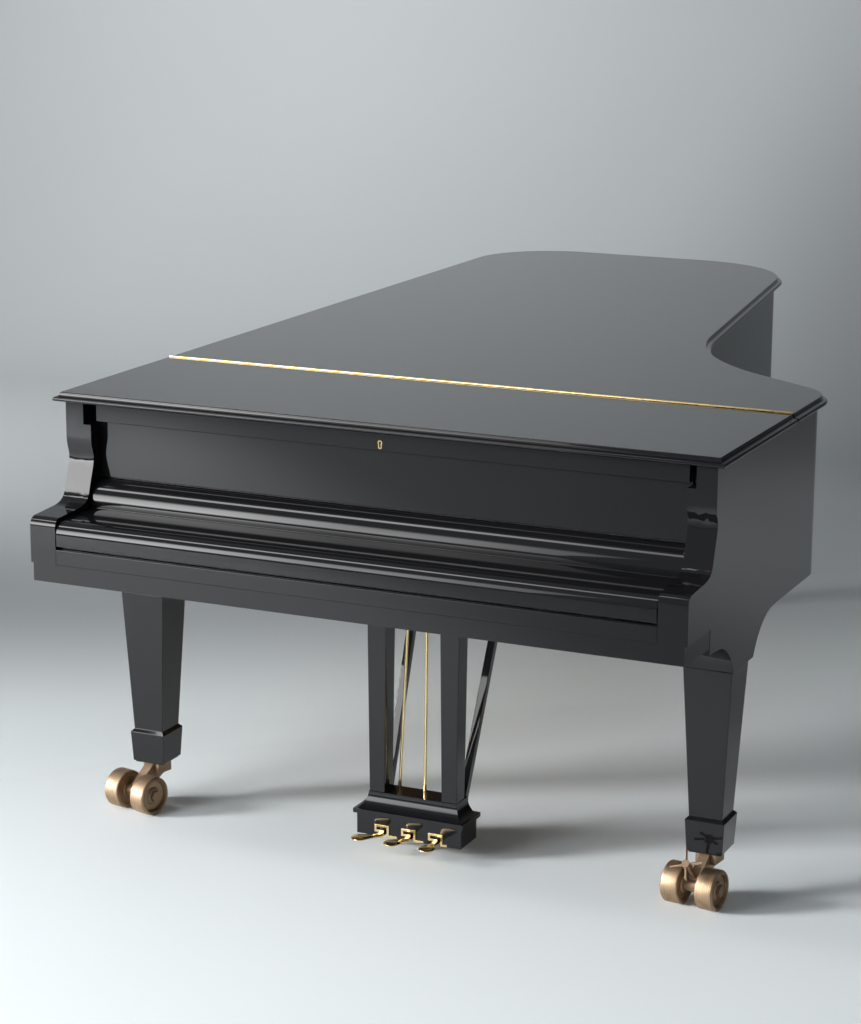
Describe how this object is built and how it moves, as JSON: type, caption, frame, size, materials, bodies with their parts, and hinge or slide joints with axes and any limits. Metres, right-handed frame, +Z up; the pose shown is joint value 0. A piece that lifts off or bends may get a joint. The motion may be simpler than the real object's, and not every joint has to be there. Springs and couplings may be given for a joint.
{
  "type": "concert grand piano",
  "caption": "Concert grand piano in gloss black with hinged lid and front flap, fallboard over a full keyboard, strung iron plate, lyre with pedals, and twin-wheel casters",
  "frame": {"origin": "on the floor, under the middle of the piano's bounding box", "axes": "+Z up, -Y towards the player at the keyboard, +X towards the treble side"},
  "size_m": [1.574, 2.74, 1.0404],
  "materials": {
    "black_lacquer": "high-gloss black polyester lacquer on wood",
    "bare_wood": "satin",
    "soundboard_spruce": "satin varnish",
    "bridge_maple": "satin",
    "plate_iron": "gold bronze paint",
    "steel": "polished",
    "copper_wound": "bright copper winding",
    "brass": "polished",
    "caster_bronze": "matt bronze",
    "key_white": "gloss white tops on wood",
    "key_black": "satin black tops on wood",
    "hammer_felt": "wood with felt head",
    "damper_felt": "satin black heads with felt",
    "bumper_rubber": "matt",
    "action_metal": "satin"
  },
  "bodies": {
    "case": {"rim": "black_lacquer", "inner_rim": "bare_wood", "frame_braces": "bare_wood", "soundboard": "soundboard_spruce", "soundboard_ribs": "soundboard_spruce", "bridges": "bridge_maple", "iron_plate": "plate_iron", "pin_block": "bare_wood", "tuning_pins": "steel", "bass_strings": "copper_wound", "treble_strings": "steel", "keybed": "black_lacquer", "key_slip": "black_lacquer", "key_blocks": "black_lacquer", "nameboard": "black_lacquer", "leg_blocks": "black_lacquer", "leg_bass": "black_lacquer", "leg_treble": "black_lacquer", "leg_tail": "black_lacquer", "lyre_pillars": "black_lacquer", "pedal_box": "black_lacquer", "lyre_braces": "black_lacquer", "pedal_trim": "brass", "lid_bumpers": "bumper_rubber", "lid_hinge_lower": "brass", "music_tray": "black_lacquer"},
    "lid": {"lid_main": "black_lacquer", "lid_hinge_upper": "brass", "fold_hinge_rear": "brass"},
    "front_flap": {"lid_front": "black_lacquer", "fold_hinge_front": "brass", "drop_rail": "black_lacquer", "lock_escutcheon": "brass"},
    "prop": {"prop_stick": "black_lacquer"},
    "fall": {"fallboard": "black_lacquer"},
    "desk": {"music_desk": "black_lacquer"},
    "keyboard": {"key_frame": "bare_wood", "action_stack": "action_metal"},
    "naturals": {"natural_keys": "key_white"},
    "sharps": {"sharp_keys": "key_black"},
    "natural_strikers": {"natural_hammers": "hammer_felt"},
    "sharp_strikers": {"sharp_hammers": "hammer_felt"},
    "damper_set": {"dampers": "damper_felt"},
    "sostenuto": {"sostenuto_rod": "brass"},
    "pedal_left": {"pedal_left": "brass"},
    "rod_left": {"pedal_rod_left": "brass"},
    "pedal_middle": {"pedal_middle": "brass"},
    "rod_middle": {"pedal_rod_middle": "brass"},
    "pedal_right": {"pedal_right": "brass"},
    "rod_right": {"pedal_rod_right": "brass"},
    "caster_bass": {"caster_fork_bass": "caster_bronze"},
    "wheel_bass_1": {"wheel_bass_1": "caster_bronze"},
    "wheel_bass_2": {"wheel_bass_2": "caster_bronze"},
    "caster_treble": {"caster_fork_treble": "caster_bronze"},
    "wheel_treble_1": {"wheel_treble_1": "caster_bronze"},
    "wheel_treble_2": {"wheel_treble_2": "caster_bronze"},
    "caster_tail": {"caster_fork_tail": "caster_bronze"},
    "wheel_tail_1": {"wheel_tail_1": "caster_bronze"},
    "wheel_tail_2": {"wheel_tail_2": "caster_bronze"},
    "brake": {"brake_screw": "caster_bronze"}
  },
  "joints": [
    {"name": "lid_hinge", "type": "hinge", "parent": "case", "child": "lid", "pos_m": [-0.772, 0.11, 1.009], "axis": [0, -1, 0], "range_deg": [0, 37]},
    {"name": "front_lid_fold", "type": "hinge", "parent": "lid", "child": "front_flap", "pos_m": [0, -0.736, 1.0372], "axis": [-1, 0, 0], "range_deg": [0, 178]},
    {"name": "prop_swing", "type": "hinge", "parent": "case", "child": "prop", "pos_m": [0.22156, 0, 0.89], "axis": [0.9009, 0.137, 0.4119], "range_deg": [0, 48.5]},
    {"name": "fallboard_hinge", "type": "hinge", "parent": "case", "child": "fall", "pos_m": [0, -1.172, 0.787], "axis": [-1, 0, 0], "range_deg": [0, 86]},
    {"name": "desk_hinge", "type": "hinge", "parent": "case", "child": "desk", "pos_m": [0, -1.07, 1.002], "axis": [1, 0, 0], "range_deg": [0, 70]},
    {"name": "keyboard_shift", "type": "slide", "parent": "case", "child": "keyboard", "axis": [1, 0, 0], "range_m": [0, 0.003], "stiffness_N_per_m": 4000, "springref_m": -0.004},
    {"name": "natural_keys_dip", "type": "hinge", "parent": "keyboard", "child": "naturals", "pos_m": [0, -1.083, 0.706], "axis": [1, 0, 0], "range_deg": [0, 2.2], "stiffness_Nm_per_rad": 40, "springref_deg": -8.02},
    {"name": "natural_hammers_swing", "type": "hinge", "parent": "keyboard", "child": "natural_strikers", "pos_m": [0, -0.865, 0.815], "axis": [1, 0, 0], "range_deg": [0, 19.5]},
    {"name": "sharp_keys_dip", "type": "hinge", "parent": "keyboard", "child": "sharps", "pos_m": [0, -1.083, 0.706], "axis": [1, 0, 0], "range_deg": [0, 2.2], "stiffness_Nm_per_rad": 40, "springref_deg": -8.02},
    {"name": "sharp_hammers_swing", "type": "hinge", "parent": "keyboard", "child": "sharp_strikers", "pos_m": [0, -0.865, 0.815], "axis": [1, 0, 0], "range_deg": [0, 19.5]},
    {"name": "damper_lift", "type": "slide", "parent": "case", "child": "damper_set", "axis": [0, 0, 1], "range_m": [0, 0.006], "stiffness_N_per_m": 2000, "springref_m": -0.005},
    {"name": "sostenuto_turn", "type": "hinge", "parent": "case", "child": "sostenuto", "pos_m": [0, -0.672, 0.8], "axis": [1, 0, 0], "range_deg": [0, 30]},
    {"name": "pedal_left_press", "type": "hinge", "parent": "case", "child": "pedal_left", "pos_m": [-0.071, -0.998, 0.0355], "axis": [1, 0, 0], "range_deg": [0, 8]},
    {"name": "rod_left_lift", "type": "slide", "parent": "case", "child": "rod_left", "axis": [0.0482, 0, 0.9988], "range_m": [0, 0.0071]},
    {"name": "pedal_middle_press", "type": "hinge", "parent": "case", "child": "pedal_middle", "pos_m": [-0.004, -0.998, 0.0355], "axis": [1, 0, 0], "range_deg": [0, 8], "stiffness_Nm_per_rad": 4, "springref_deg": -8.59},
    {"name": "rod_middle_lift", "type": "slide", "parent": "case", "child": "rod_middle", "axis": [0.008, 0, 1], "range_m": [0, 0.0071]},
    {"name": "pedal_right_press", "type": "hinge", "parent": "case", "child": "pedal_right", "pos_m": [0.063, -0.998, 0.0355], "axis": [1, 0, 0], "range_deg": [0, 8]},
    {"name": "rod_right_lift", "type": "slide", "parent": "case", "child": "rod_right", "axis": [-0.0322, 0, 0.9995], "range_m": [0, 0.0071]},
    {"name": "caster_bass_swivel", "type": "hinge", "parent": "case", "child": "caster_bass", "pos_m": [-0.6935, -0.9665, 0.106], "axis": [0, 0, 1], "continuous": true},
    {"name": "wheel_bass_1_roll", "type": "hinge", "parent": "caster_bass", "child": "wheel_bass_1", "pos_m": [-0.75058, -1.02927, 0.0455], "axis": [0.9744, -0.225, 0], "continuous": true},
    {"name": "wheel_bass_2_roll", "type": "hinge", "parent": "caster_bass", "child": "wheel_bass_2", "pos_m": [-0.66971, -1.04794, 0.0455], "axis": [0.9744, -0.225, 0], "continuous": true},
    {"name": "caster_treble_swivel", "type": "hinge", "parent": "case", "child": "caster_treble", "pos_m": [0.6935, -0.9665, 0.106], "axis": [0, 0, 1], "continuous": true},
    {"name": "wheel_treble_1_roll", "type": "hinge", "parent": "caster_treble", "child": "wheel_treble_1", "pos_m": [0.64329, -1.03489, 0.0455], "axis": [0.9925, -0.1219, 0], "continuous": true},
    {"name": "wheel_treble_2_roll", "type": "hinge", "parent": "caster_treble", "child": "wheel_treble_2", "pos_m": [0.72567, -1.04501, 0.0455], "axis": [0.9925, -0.1219, 0], "continuous": true},
    {"name": "caster_tail_swivel", "type": "hinge", "parent": "case", "child": "caster_tail", "pos_m": [-0.34, 1.03, 0.106], "axis": [0, 0, 1], "continuous": true},
    {"name": "wheel_tail_1_roll", "type": "hinge", "parent": "caster_tail", "child": "wheel_tail_1", "pos_m": [-0.35369, 0.94627, 0.0455], "axis": [0.9397, 0.342, 0], "continuous": true},
    {"name": "wheel_tail_2_roll", "type": "hinge", "parent": "caster_tail", "child": "wheel_tail_2", "pos_m": [-0.27569, 0.97466, 0.0455], "axis": [0.9397, 0.342, 0], "continuous": true},
    {"name": "brake_turn", "type": "hinge", "parent": "caster_treble", "child": "brake", "pos_m": [0.68547, -1.03191, 0.0563], "axis": [-0.0862, -0.7018, 0.7071], "range_deg": [-180, 180]}
  ],
  "couplings": [
    {"joint": "prop_swing", "follows": "lid_hinge", "ratio": 1.3108},
    {"joint": "desk_hinge", "follows": "front_lid_fold", "ratio": 0.3932},
    {"joint": "natural_hammers_swing", "follows": "natural_keys_dip", "ratio": 8.86},
    {"joint": "sharp_hammers_swing", "follows": "sharp_keys_dip", "ratio": 8.86},
    {"joint": "pedal_left_press", "follows": "keyboard_shift", "rad_per_m": 46.537},
    {"joint": "rod_left_lift", "follows": "keyboard_shift", "ratio": 2.3664},
    {"joint": "rod_middle_lift", "follows": "pedal_middle_press", "m_per_rad": 0.050845},
    {"joint": "pedal_right_press", "follows": "damper_lift", "rad_per_m": 23.269},
    {"joint": "rod_right_lift", "follows": "damper_lift", "ratio": 1.1832},
    {"joint": "sostenuto_turn", "follows": "pedal_middle_press", "ratio": 3.7496}
  ]
}
